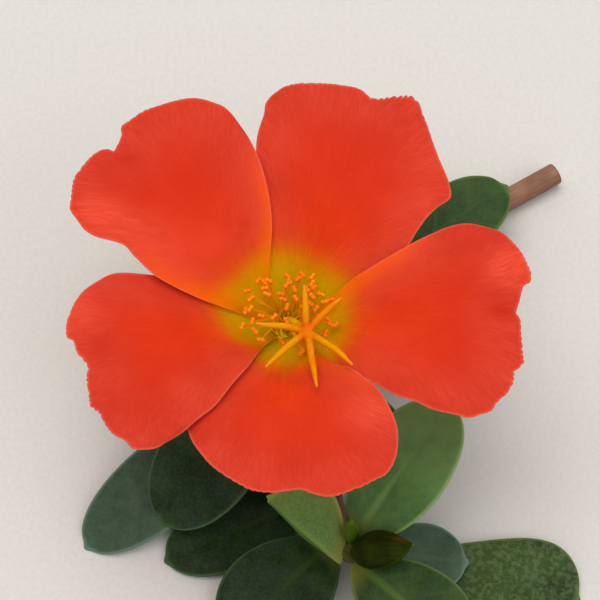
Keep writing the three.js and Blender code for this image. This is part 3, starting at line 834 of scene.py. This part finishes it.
# The looks of the leaves' skin. 'pores' and 'mottling' are how strong its pale dots and patches are, the
# painted light towards the tip is how much it lifts the leaf there, and 'edge' how yellow one half gets
# towards its margin, which is the half with readings across above 0. The deep, dark and shaded looks are
# darker copies of one leaf: painted shade for the leaves that lie in shadow.
plainSkin = {"pores": 0.03, "mottling": 0.03, "patch": 0.32, "edge": 0.0, "towardsTip": 0.0}
leafLooks = {
    "fresh": {"dark": "365826", "light": "54783E", "vein": "6A884A", "margin": "84A064", "towardsTip": 0.3},
    "deepAndShaded": {"dark": "18300A", "light": "2D4616", "vein": "4C6626", "margin": "5A743A", "pores": 0.04},
    "dark": {"dark": "0C2006", "light": "18320E", "vein": "2C4418", "margin": "425E38"},
    "shaded": {"dark": "142809", "light": "243E1A", "vein": "3A5228", "margin": "4A643C"},
    "glaucous": {"dark": "283C2A", "light": "445844", "vein": "4A6048", "margin": "64806A", "pores": 0.05},
    "speckled": {"dark": "122602", "light": "304814", "vein": "3C561C", "margin": "627840",
                 "pores": 0.12, "mottling": 0.14, "patch": 0.45},
    "yellowed": {"dark": "3E601E", "light": "547632", "vein": "6A883A", "margin": "8E9A4A",
                 "pores": 0.3, "mottling": 0.14, "edge": 0.25},
}
leafFinish = {
    "bloom": "64806C", "pore": "8C9A70", "yellow": "8A8C3C", "back": "4E6C3C", "foot": "7A7C38",
    # 86AA68 is painted light that lifts the leaf towards its tip.
    "paintedTipLight": "86AA68", "bloomShare": 0.07, "slant": 0.9,
    "veinBand": (0.5, 1.0, 0.0, 0.14), "ribWidth": (1.0, 12.0, 0.75, 0.25), "ribBand": (0.1, 1.0, 0.7, 0.0),
    "ribFade": (4.0, 12.0, 1.0, 0.15), "marginBand": (0.05, 0.55, 0.7, 0.0), "footBand": (0.4, 3.0, 0.7, 0.0),
    "backBand": (0.0, 1.0, 0.6, 0.0), "gloss": (0.0, 1.0, 0.45, 0.6), "specular": 0.12,
}


def leafMaterial(name):
    finish = {**leafFinish, **plainSkin, **leafLooks[name]}
    skin = Skin(name + "Leaf", finish)
    along, across, margin, upper = skin.read("along across margin upper")
    aside = skin.maths("ABSOLUTE", across)
    patches = skin.use(softPatches, size=7.0, seed=1.0)
    small = skin.use(softPatches, size=1.2, seed=2.0)
    bloom = skin.use(softPatches, size=3.0, seed=5.0)
    mottling = skin.use(softPatches, size=finish["patch"], seed=6.0)
    pores = skin.use(speckles, size=0.17, share=0.5)
    forward = skin.maths("SUBTRACT", along, skin.times(aside, finish["slant"]))
    sideVeins = skin.use(fineLines, across=forward, along=aside, spacing=1.6, length=8.0)
    yellow = skin.times(skin.between(margin, 0.0, 3.5, finish["edge"], 0.0), skin.between(across, -0.5, 0.5))
    grain = skin.maths("ADD", skin.times(pores, finish["pores"]),
                       skin.between(mottling, 0.2, 1.0, 0.0, finish["mottling"]))
    fromRib = skin.maths("DIVIDE", aside, skin.band(along, "ribWidth"))
    tint = skin.layered(
        skin.mixed(skin.weighted((patches, 0.75), (small, 0.25)), "dark", "light"),
        (skin.times(bloom, finish["bloomShare"]), "bloom"),
        # Painted light towards the tip.
        (skin.between(along, 6.0, 17.0, 0.0, finish["towardsTip"]), "paintedTipLight"),
        (yellow, "yellow"),
        (skin.band(sideVeins, "veinBand"), "vein"),
        (grain, "pore"),
        (skin.times(skin.band(fromRib, "ribBand"), skin.band(along, "ribFade")), "vein"),
        (skin.band(margin, "marginBand"), "margin"),
        (skin.band(along, "footBand"), "foot"),
        (skin.band(upper, "backBand"), "back"),
    )
    cells = skin.use(skinCells, size=0.16)
    skin.cover(tint, (cells, 0.5), (small, 0.5), (sideVeins, 0.5), roughness=skin.band(bloom, "gloss"))
    return skin.material


leafMaterials = {name: leafMaterial(name) for name in leafLooks}
for name, leaf in leaves.items():
    addPiece(name + "_blade", [name], bladeSolid(leaf), [leafMaterials[leaf["look"]]])
print("leaves made")


# Directions across a line of points that don't twist along it.
def carriedFrames(points):
    ahead = unit(np.gradient(points, axis=0))
    side = unit(np.cross(ahead[0], [0.3, 0.2, 1.0]))
    sides = [side]
    for direction in ahead[1:]:
        side = unit(side - direction * (direction @ side))
        sides.append(side)
    sides = np.array(sides)
    return sides, np.cross(ahead, sides)


# Rings round the points of an axis. The radii have a row for each ring.
def ringsAround(axis, side, other, radii, turn):
    around = side[:, None] * np.cos(turn)[None, :, None] + other[:, None] * np.sin(turn)[None, :, None]
    return axis[:, None] + around * radii[..., None]


def tubeSolid(points, radii, sides):
    rings = ringsAround(points, *carriedFrames(points), radii[:, None], ringTurns(sides))
    return closedTube(rings, points[[0, -1]])


# Stems, with a swelling at every joint where leaves or shoots leave, and a flat cut at the open end. Each
# end has more rings, which are narrower by 'caps' and set ahead by its dish. 'fleshy' is how far those of
# the cut lie from the skin towards the pith.
stems = {
    "main_stem": {
        "knots": [(0, 0, 10.5), (0, 0.1, 7.8), (2, 2.4, 3.6), (6.5, 7.4, 1.7), (13.5, 14.6, 1.3),
                  (21.5, 21.4, 1.3), (29.5, 26.6, 1.35)],
        "radius": 1.25, "joints": [0.08, 0.22, 0.42, 0.72],
        "startAhead": 0.35, "endAhead": 0.0, "cut": 1.0,
    },
    "bud_stem": {
        "knots": [(2.6, 0.6, 3.2), (3.2, -3.6, 2), (4.4, -9.6, 1.4), (5.6, -15.2, 1.6), (6.5, -19, 3.6),
                  (6.6, -19.8, 5.4)],
        "radius": 0.95, "joints": [0.03, 0.55, 0.78, 0.94], "startAhead": 0.8, "endAhead": 0.3, "cut": 0.0,
    },
}
stemForm = {
    "rings": 150, "sides": 32, "fullness": 0.97, "swelling": 0.1, "swellingLength": 0.9, "ribs": 7,
    "ribHeight": 0.012, "floorGap": 0.02, "caps": [0.985, 0.6, 0.25], "startDish": [0.05, 0.05, 0.05],
    "endDish": [0, -0.06, -0.1], "fleshy": [0.35, 0.8, 1.0],
}


def stemRadii(stem, share, length, turn):
    radii = np.full(len(share), stem["radius"] * stemForm["fullness"])
    for at in stem["joints"]:
        radii *= 1 + stemForm["swelling"] * np.exp(-((share - at) * length / stemForm["swellingLength"]) ** 2)
    ribs = stemForm["ribHeight"] * np.cos(stemForm["ribs"] * turn[None] + 3 * share[:, None])
    return radii[:, None] * (1 + ribs)


def stemSolid(stem):
    share = np.linspace(0, 1, stemForm["rings"])
    points = evenSplineAt(stem["knots"], share)
    points[0] += unit(points[0] - points[1]) * stem["startAhead"]
    points[-1] += unit(points[-1] - points[-2]) * stem["endAhead"]
    length = np.linalg.norm(np.diff(points, axis=0), axis=1).sum()
    turn = ringTurns(stemForm["sides"])
    radii = stemRadii(stem, share, length, turn)
    points[:, 2] -= np.minimum(0, points[:, 2] - radii.max(axis=1) - stemForm["floorGap"])
    caps = stemForm["caps"]
    more = (len(caps), len(caps))
    middle = np.zeros(len(share))
    rows = (points, *carriedFrames(points), radii)
    axis, side, other, radii = (np.pad(row, (more, (0, 0)), "edge") for row in rows)
    radii *= np.concatenate([caps[::-1], middle + 1, caps])[:, None]
    dish = np.concatenate([stemForm["startDish"], middle, stemForm["endDish"]])
    ahead = np.cross(side, other)
    body = ringsAround(axis, side, other, radii, turn) + ahead[:, None] * dish[:, None, None]
    travelled = np.pad(share * length, more, "edge")[:, None]
    cut = np.pad(stemForm["fleshy"], (len(caps) + len(share), 0))[:, None] * stem["cut"]
    return closedTube(
        body, [axis[0], axis[-1] + ahead[-1] * dish[-1]], along=(travelled, 0, length),
        around=(turn * stem["radius"], 0, 0), cut=(cut, 0, stem["cut"]),
        height=(body[..., 2], axis[0][2], axis[-1][2]))


stemFinish = {
    "dark": "6E483A", "light": "966E56", "green": "404A0A", "flesh": "C9D09A", "pith": "E4E2BC",
    "greenBand": (2.4, 5.2, 0.0, 0.9), "fleshBand": (0.1, 0.3), "pithBand": (0.5, 1.0),
    "gloss": (0.0, 1.0, 0.36, 0.5), "specular": 0.15,
}


def stemMaterial():
    skin = Skin("stemSkin", stemFinish)
    around, along, height, cut = skin.read("around along height cut")
    lines = skin.use(fineLines, across=around, along=along, spacing=0.22, length=4.0)
    patches = skin.use(softPatches, size=3.0, seed=7.0)
    tint = skin.layered(
        skin.mixed(skin.weighted((lines, 0.5), (patches, 0.5)), "dark", "light"),
        (skin.band(height, "greenBand"), "green"),
        (skin.band(cut, "fleshBand"), "flesh"),
        (skin.band(cut, "pithBand"), "pith"),
    )
    cells = skin.use(skinCells, size=0.12)
    skin.cover(tint, (lines, 1.0), (cells, 0.4), roughness=skin.band(lines, "gloss"))
    return skin.material


stemSkin = stemMaterial()
for name, stem in stems.items():
    addPiece(name + "_skin", [name], stemSolid(stem), [stemSkin])
print("stems made")

# The skins of sepals and buds. A flush runs from 'flush' mm along it to its point at 'point', and
# 'aside' mm from its middle line.
sepalLooks = {
    "sepal": {"foot": "5E7A34", "dark": "2C4018", "light": "4C682C", "margin": "7A8C48", "tip": "9C9266",
              "flush": 6.5, "point": 8.9, "aside": 0.0},
    "bud": {"foot": "2C3A02", "dark": "161C00", "light": "263200", "margin": "46560E", "tip": "8C8450",
            "flush": 4.4, "point": 7.1, "aside": -0.6},
    "youngBud": {"foot": "34480A", "dark": "2C400A", "light": "445812", "margin": "5C6E1C", "tip": "9C9266",
                 "flush": 20, "point": 20, "aside": 0.0},
    # The cup's tip colour is paler than its own yellow-green: painted light that lifts the shade among the
    # stamens.
    "cup": {"foot": "5F7A34", "dark": "56702C", "light": "8A9424", "margin": "8A9424", "tip": "FFF020",
            "flush": 20, "point": 5.2, "aside": 0.0},
}
sepalFinish = {
    "flushed": "5E3A10", "flushLength": 1.2, "flushBand": (0.1, 0.8, 0.5, 0.0), "tipLength": 0.5,
    "footBand": (0.0, 1.8, 0.8, 0.0), "marginBand": (0.0, 0.25, 0.7, 0.0),
    "roughness": 0.42, "specular": 0.04,
}


def sepalMaterial(name):
    finish = {**sepalFinish, **sepalLooks[name]}
    skin = Skin(name + "Skin", finish)
    along, across, margin = skin.read("along across margin")
    lines = skin.use(fineLines, across=across, along=along, spacing=0.25, length=3.0)
    patches = skin.use(softPatches, size=2.0, seed=4.0)
    aside = skin.maths("ABSOLUTE", skin.maths("SUBTRACT", across, finish["aside"]))
    flush = skin.between(along, finish["flush"], finish["flush"] + finish["flushLength"])
    tip = skin.between(along, finish["point"] - finish["tipLength"], finish["point"])
    tint = skin.layered(
        skin.mixed(skin.weighted((lines, 0.4), (patches, 0.6)), "dark", "light"),
        (skin.band(along, "footBand"), "foot"),
        (skin.times(flush, skin.band(aside, "flushBand")), "flushed"),
        (skin.band(margin, "marginBand"), "margin"),
        (tip, "tip"),
    )
    skin.cover(tint, (lines, 1.0), (skin.use(skinCells, size=0.12), 0.5))
    return skin.material


# The two sepals that hug the bowl under the petals.
sepals = {
    "degrees": {"sepal_front": 244, "sepal_back": 64}, "foot": (2.55, -0.6), "tip": (10, 4.4),
    "shape": {"width": 6, "thickness": 0.5, "arch": 0.2, "seed": 31},
}
sepalSkin = sepalMaterial("sepal")
for name, degrees in sepals["degrees"].items():
    foot, tip = (polar(degrees, distance, flower["height"] + height)
                 for distance, height in (sepals["foot"], sepals["tip"]))
    solid = bladeSolid(blade(foot, tip, **sepals["shape"]))
    addPiece(name + "_blade", [name], solid, [sepalSkin])

# The cup that holds the ovary: [radius, height above where the petals would meet].
cup = {
    "profile": [[0.2, -4.2], [1.1, -4.15], [1.28, -3.5], [1.75, -2.5], [2.2, -1.6], [2.42, -0.5],
                [2.3, 0.5], [1.95, 1.3], [1.3, 1.5], [0.3, 1.45]],
    "rings": 60, "sides": 48, "ribs": 10, "ribHeight": 0.025, "girth": 2.2,
}


def cupSolid():
    profile = splineAt(cup["profile"], np.linspace(0, 1, cup["rings"]))
    turn = ringTurns(cup["sides"])
    radius = profile[:, :1] * (1 + cup["ribHeight"] * np.cos(cup["ribs"] * turn))[None]
    height = np.broadcast_to(profile[:, 1:] + flower["height"], radius.shape)
    body = np.stack([radius * np.cos(turn), radius * np.sin(turn), height], axis=-1)
    rise = profile[:, 1:] - profile[0, 1]
    return closedTube(
        body, [[0, 0, height[0, 0]], [0, 0, height[-1, 0]]], along=(rise, 0, rise[-1, 0]),
        across=(turn * cup["girth"], 0, 0), margin=(1, 1, 1))


addPiece("receptacle_cup", ["receptacle"], cupSolid(), [sepalMaterial("cup")])

# The closed bud: two keeled sepals that clasp each other and end in one point. The upper one is larger
# by 'lap', and its edges reach down over the lower one's.
bud = {
    "foot": (6.8, -20.2, 6.1), "tip": (12.8, -20.3, 8.6), "seat": 0.3, "halfWidth": 1.9, "depth": 1.8,
    "halfGap": 0.02, "lap": 0.06, "lapDrop": 0.1, "keel": 0.12, "keelWidth": 0.22, "rings": 60, "sides": 56,
    "beak": 0.45, "beakLength": 0.2,
    "young": blade([6.6, -18.7, 6], [6.6, -17.8, 8.4], 1.6, thickness=1.5, seed=41),
}


def budSepalSolid(side):
    tip = np.array(bud["tip"])
    along = unit(tip - bud["foot"])
    foot = np.array(bud["foot"]) - along * bud["seat"]
    across = unit(np.cross(along, [0, 0, 1]))
    outward = np.cross(across, along)
    s = crowdedShares(bud["rings"])
    turn = ringTurns(bud["sides"])[None]
    x = np.cos(turn)
    bulge = np.maximum(0, np.sin(turn))
    fullness = np.sin(np.pi * s**0.8) ** 0.85
    lap = 1 + bud["lap"] * (side > 0)
    keel = bud["keel"] * np.exp(-(x / bud["keelWidth"]) ** 2) * smooth(s, 0.1, 0.5)
    depth = bud["depth"] * fullness * (bulge**0.85 * (0.93 + keel)) * lap
    reach = x * bud["halfWidth"] * fullness * lap
    rise = 0.5 * bud["beak"] * smooth(s, 0.75, 1)
    middle = foot + (tip - foot) * s[..., None] + outward * rise[..., None]
    edgeLift = -bud["lapDrop"] * side * np.abs(x) ** 8 * (side > 0)
    body = (middle + across * reach[..., None]
            + outward * (side * (depth + bud["halfGap"]) + edgeLift)[..., None])
    length = np.linalg.norm(tip - foot)
    margin = np.arccos(np.clip(np.abs(x), 0, 1)) * bud["halfWidth"] * fullness
    beak = tip + outward * bud["beak"] * 0.5 + along * bud["beakLength"]
    return closedTube(body, [foot, beak], along=(s * length, 0, length), across=(reach, 0, 0),
                      margin=(margin, 0, 0))


budSkin = sepalMaterial("bud")
for name, side in {"bud_sepal_upper": 1, "bud_sepal_lower": -1}.items():
    addPiece(name + "_keeled", [name], budSepalSolid(side), [budSkin])
addPiece("bud_young_tip", ["bud_young"], bladeSolid(bud["young"]), [sepalMaterial("youngBud")])
print("sepals, cup and buds made")

# The pistil: a leaning style with the six arms of the stigma, grown as one.
pistil = {
    "centre": (2.2, -3.8, 22.4),
    "tips": [(1.9, 0.6, 23.9), (5.5, -0.8, 23.8), (6.5, -8.4, 24.5), (3.1, -10.9, 24.8), (-1.8, -8.6, 24.4),
             (-2.8, -3.7, 24)],
    "warmth": [0.25, 0.9, 0.4, 0.9, 0.2, 0.1],
    "style": [(0, 0, 16.5), (0.3, -0.5, 18.6), (1.2, -2.1, 20.8), (2.2, -3.8, 22.4)],
    "arch": 0.35, "wander": 0.1, "armRadius": [0.4, 0.36, 0.35, 0.32, 0.25, 0.13], "armRings": 44,
    "styleRadius": [0.34, 0.34, 0.38, 0.44], "styleRings": 40, "hub": 0.5, "hubAxis": [0.1, -0.2, 0.42],
    "hubRings": 15, "sides": 18, "voxel": 0.05, "softness": 6, "grain": 0.012, "grainSize": 0.25,
}


# Radii that are given at even spots along a tube, at other shares of its length.
def radiiAt(given, share):
    return np.interp(share, np.linspace(0, 1, len(given)), given)


def armSolid(tip, seed):
    centre = np.array(pistil["centre"])
    tip = np.array(tip, float)
    middle = (centre + tip) / 2 + [0, 0, pistil["arch"]]
    share = np.linspace(0, 1, pistil["armRings"])
    points = evenSplineAt([centre, middle, tip], share)
    points[:, :2] += pistil["wander"] * np.sin(np.pi * share)[:, None] * unevenness(points, 5, seed)[:, None]
    radii = radiiAt(pistil["armRadius"], share) * (1 - smooth(share, 0.97, 1.03) ** 2)
    return tubeSolid(points, radii, pistil["sides"])


def styleSolid():
    share = np.linspace(0, 1, pistil["styleRings"])
    radii = radiiAt(pistil["styleRadius"], share)
    return tubeSolid(evenSplineAt(pistil["style"], share), radii, pistil["sides"])


def hubSolid():
    share = np.linspace(-1, 1, pistil["hubRings"])
    points = np.array(pistil["centre"]) + np.outer(share, pistil["hubAxis"])
    return tubeSolid(points, pistil["hub"] * np.sqrt(np.maximum(0.02, 1 - share**2)), pistil["sides"])


# Solids as one: all their points, and their faces counted on.
def together(solids):
    points = []
    faces = []
    for solidPoints, solidFaces, *_ in solids:
        start = sum(len(part) for part in points)
        points.append(solidPoints)
        faces += [tuple(index + start for index in face) for face in solidFaces]
    return np.concatenate(points), faces


# Grows overlapping solids together into one skin, with soft creases where they meet.
def grownTogether(solids, voxel, softness):
    growing = addObject("growing", newMesh("growing", *together(solids)))
    skin = growing.modifiers.new("skin", "REMESH")
    skin.mode = "VOXEL"
    skin.voxel_size = voxel
    soften = growing.modifiers.new("soften", "SMOOTH")
    soften.factor = 0.5
    soften.iterations = softness
    grown = growing.evaluated_get(bpy.context.evaluated_depsgraph_get()).to_mesh()
    points = np.array([vertex.co for vertex in grown.vertices])
    faces = [tuple(face.vertices) for face in grown.polygons]
    bpy.data.objects.remove(growing)
    return points, faces


# The arms are gold, some of them warmer than others, and paler at their tips.
pistilFinish = {
    "arm": [(0, "D85A00"), (1.2, "E07E00"), (2.4, "E09A00")], "warm": "E67A00", "tip": "E0803A",
    "style": "E8C00C", "through": "FF9C04", "throughShare": 0.2, "uneven": 0.8,
    "tipBand": (0.1, 1.1, 0.4, 0.0), "roughness": 0.5, "specular": 0.06,
}


def pistilMaterial():
    skin = Skin("stigmaGold", pistilFinish)
    away, warmth, toTip, style = skin.read("away warmth toTip style")
    patches = skin.use(softPatches, size=0.8, seed=9.0)
    uneven = skin.times(skin.maths("SUBTRACT", patches, 0.5), pistilFinish["uneven"])
    tint = skin.layered(
        skin.ramp(skin.maths("ADD", away, uneven), "arm"),
        (skin.times(warmth, patches), "warm"),
        (skin.band(toTip, "tipBand"), "tip"),
        (style, "style"),
    )
    skin.cover(tint, (skin.use(skinCells, size=0.1), 1.0))
    skin.letLightThrough(pistilFinish["throughShare"], "through")
    return skin.material


def pistilSolid():
    solids = [styleSolid(), hubSolid()] + [armSolid(tip, 60 + k) for k, tip in enumerate(pistil["tips"])]
    points, faces = grownTogether(solids, pistil["voxel"], pistil["softness"])
    points[:, 2] += pistil["grain"] * unevenness(points, pistil["grainSize"], 70)
    outward = points - pistil["centre"]
    tips = np.array(pistil["tips"])
    arm = np.argmax(outward @ unit(tips - pistil["centre"]).T, axis=1)
    return points, faces, {
        "away": np.linalg.norm(outward, axis=1),
        "style": smooth(-outward[:, 2], 0.5, 1.6),
        "warmth": np.array(pistil["warmth"])[arm],
        "toTip": np.linalg.norm(points - tips[arm], axis=1),
    }


addPiece("pistil_star", ["pistil"], pistilSolid(), [pistilMaterial()])
print("pistil made")

# Stamens: heads seen from above, as [x, y] from the axis, in the order of their feet.
stamens = {
    "heads": [
        [1.1, 0.3], [3.7, 1], [2.8, 3.3], [1, 1.4], [2.3, 1.5], [1.4, 2.9], [-0.4, 0.8], [0.2, 2], [0.3, 3.2],
        [-2.1, 1.7], [-1.6, 2.7], [-2.7, 2.8], [-3.5, 0.5], [-3.9, 1.6], [-4, -0.9], [0.3, -0.8],
        [-4.3, -2.6], [-3, -3.3], [-2.4, -1.7], [-2.4, -4.3], [-0.2, -4.6], [-1.1, -1.9], [0.2, -2.4],
        [4.2, -3.5], [1.7, -5.1], [4.5, -2], [4.7, 0.5], [2, -0.6], [3.2, -0.9],
    ],
    "moreHeads": [
        [-2.1, 2.5], [-1.8, 0.9], [-3.5, -0.7], [0.5, 2.5], [1.8, 3.5], [3.0, 1.8], [-0.1, 0.1], [2.1, -1.7],
        [2.6, -0.3], [4.1, 0.1], [4.7, -2.5], [5.2, -2.4], [1.7, -5.7], [2.9, -5.1], [3.4, -1.9],
        [-3.3, -2.2], [2.8, 2.3], [2.8, 0.6],
    ],
    "middle": (0.4, -1.6, 22), "spread": 4.7, "drop": 0.8, "footRings": [0.66, 0.93, 1.2], "footHeight": 16.5,
    "knee": (0.25, 0.58), "hairRadius": 0.085, "hairTaper": (1.6, 0.9), "hairEnd": 0.96, "hairRings": 22,
    "hairSides": 10, "lobe": 0.24, "lobeApart": 0.2, "waist": 0.16, "antherRings": 24, "antherSides": 22,
    "grain": 0.07, "grainSize": 0.16, "tilt": 0.45,
}


def stamenAxis(head, degrees, index):
    foot = np.array(polar(degrees, stamens["footRings"][index % 3], stamens["footHeight"]))
    middleX, middleY, top = stamens["middle"]
    reach = math.hypot(head[0] - middleX, head[1] - middleY) / stamens["spread"]
    end = np.array([*head, top - stamens["drop"] * reach**2])
    kneeOut, kneeUp = stamens["knee"]
    knee = foot + (end - foot) * kneeOut
    knee[2] = foot[2] + (end[2] - foot[2]) * kneeUp
    return [foot, knee, end]


def hairSolid(knots):
    share = np.linspace(0, stamens["hairEnd"], stamens["hairRings"])
    thick, taper = stamens["hairTaper"]
    axis = evenSplineAt(knots, share)
    points, faces, _ = tubeSolid(axis, stamens["hairRadius"] * (thick - taper * share), stamens["hairSides"])
    along = np.append(np.repeat(share, stamens["hairSides"]), [0, 1])
    return points, faces, along, axis[-1]


# An anther: two round lobes joined at a narrower waist.
def antherSolid(centre, direction, seed):
    t = np.sin(np.linspace(-0.5, 0.5, stamens["antherRings"]) * np.pi) * 0.995
    x = t * (stamens["lobe"] + stamens["lobeApart"])
    lobes = np.sqrt(np.maximum(stamens["lobe"] ** 2 - (np.abs(x) - stamens["lobeApart"]) ** 2, 0.0004))
    waist = stamens["waist"] * np.sqrt(np.maximum(1 - t**2, 0))
    axis = centre + np.outer(x, direction)
    points, faces, _ = tubeSolid(axis, np.maximum(lobes, waist), stamens["antherSides"])
    grain = stamens["grain"] * unevenness(points, stamens["grainSize"], seed)
    return points + (points - centre) * grain[:, None], faces


def addStamen(name, head, degrees, index, nodes):
    chance = np.random.default_rng(100 + index)
    hair, hairFaces, along, end = hairSolid(stamenAxis(head, degrees, index))
    heading = chance.uniform(0, 2 * np.pi)
    tilt = chance.uniform(-stamens["tilt"], stamens["tilt"])
    anther = antherSolid(end, unit([math.cos(heading), math.sin(heading), tilt]), 200 + index)
    points, faces = together([(hair, hairFaces), anther])
    readings = {
        "along": np.append(along, np.ones(len(anther[0]))),
        "chance": np.full(len(points), chance.uniform()),
    }
    faceMaterials = [0] * len(hairFaces) + [1] * len(anther[1])
    addPiece(name, nodes, (points, faces, readings), [filamentHair, antherGrain], faceMaterials)


filamentFinish = {
    # The hair runs from yellow at its foot to orange by the anther, all paler than its own colour: painted
    # light that lifts the shade deep among the stamens.
    "hair": [(0, "FFEC20"), (0.45, "F8D010"), (0.85, "EC9E0C"), (1, "EC880C")], "patch": "D8C020",
    "patches": 0.3, "through": "FFDC20", "throughShare": 0.5, "roughness": 0.5, "specular": 0.12,
}
antherFinish = {
    "dark": "FF8004", "light": "FF980C", "grain": "FFAC30", "grains": 0.5, "through": "FF7808",
    "throughShare": 0.2, "roughness": 0.65, "specular": 0.15,
}


def filamentMaterial():
    skin = Skin("filamentHair", filamentFinish)
    along, = skin.read("along")
    patches = skin.times(skin.use(softPatches, size=0.6, seed=8.0), filamentFinish["patches"])
    skin.cover(skin.mixed(patches, skin.ramp(along, "hair"), "patch"))
    skin.letLightThrough(filamentFinish["throughShare"], "through")
    return skin.material


def antherMaterial():
    skin = Skin("antherGrain", antherFinish)
    chance, = skin.read("chance")
    grains = skin.use(speckles, size=0.06, share=0.7)
    base = skin.mixed(chance, "dark", "light")
    skin.cover(skin.mixed(skin.times(grains, antherFinish["grains"]), base, "grain"), (grains, 1.0))
    skin.letLightThrough(antherFinish["throughShare"], "through")
    return skin.material


filamentHair = filamentMaterial()
antherGrain = antherMaterial()
nodeCount = len(stamens["heads"])
for index, head in enumerate(stamens["heads"]):
    degrees = index / nodeCount * 360
    addStamen(f"filament_and_anther_{index + 1:02d}", head, degrees, index, [f"stamen_{index + 1:02d}"])
for index, head in enumerate(stamens["moreHeads"]):
    degrees = math.degrees(math.atan2(head[1], head[0]))
    addStamen(f"filament_and_anther_{nodeCount + index + 1:02d}", head, degrees, index, [])
print("stamens made")
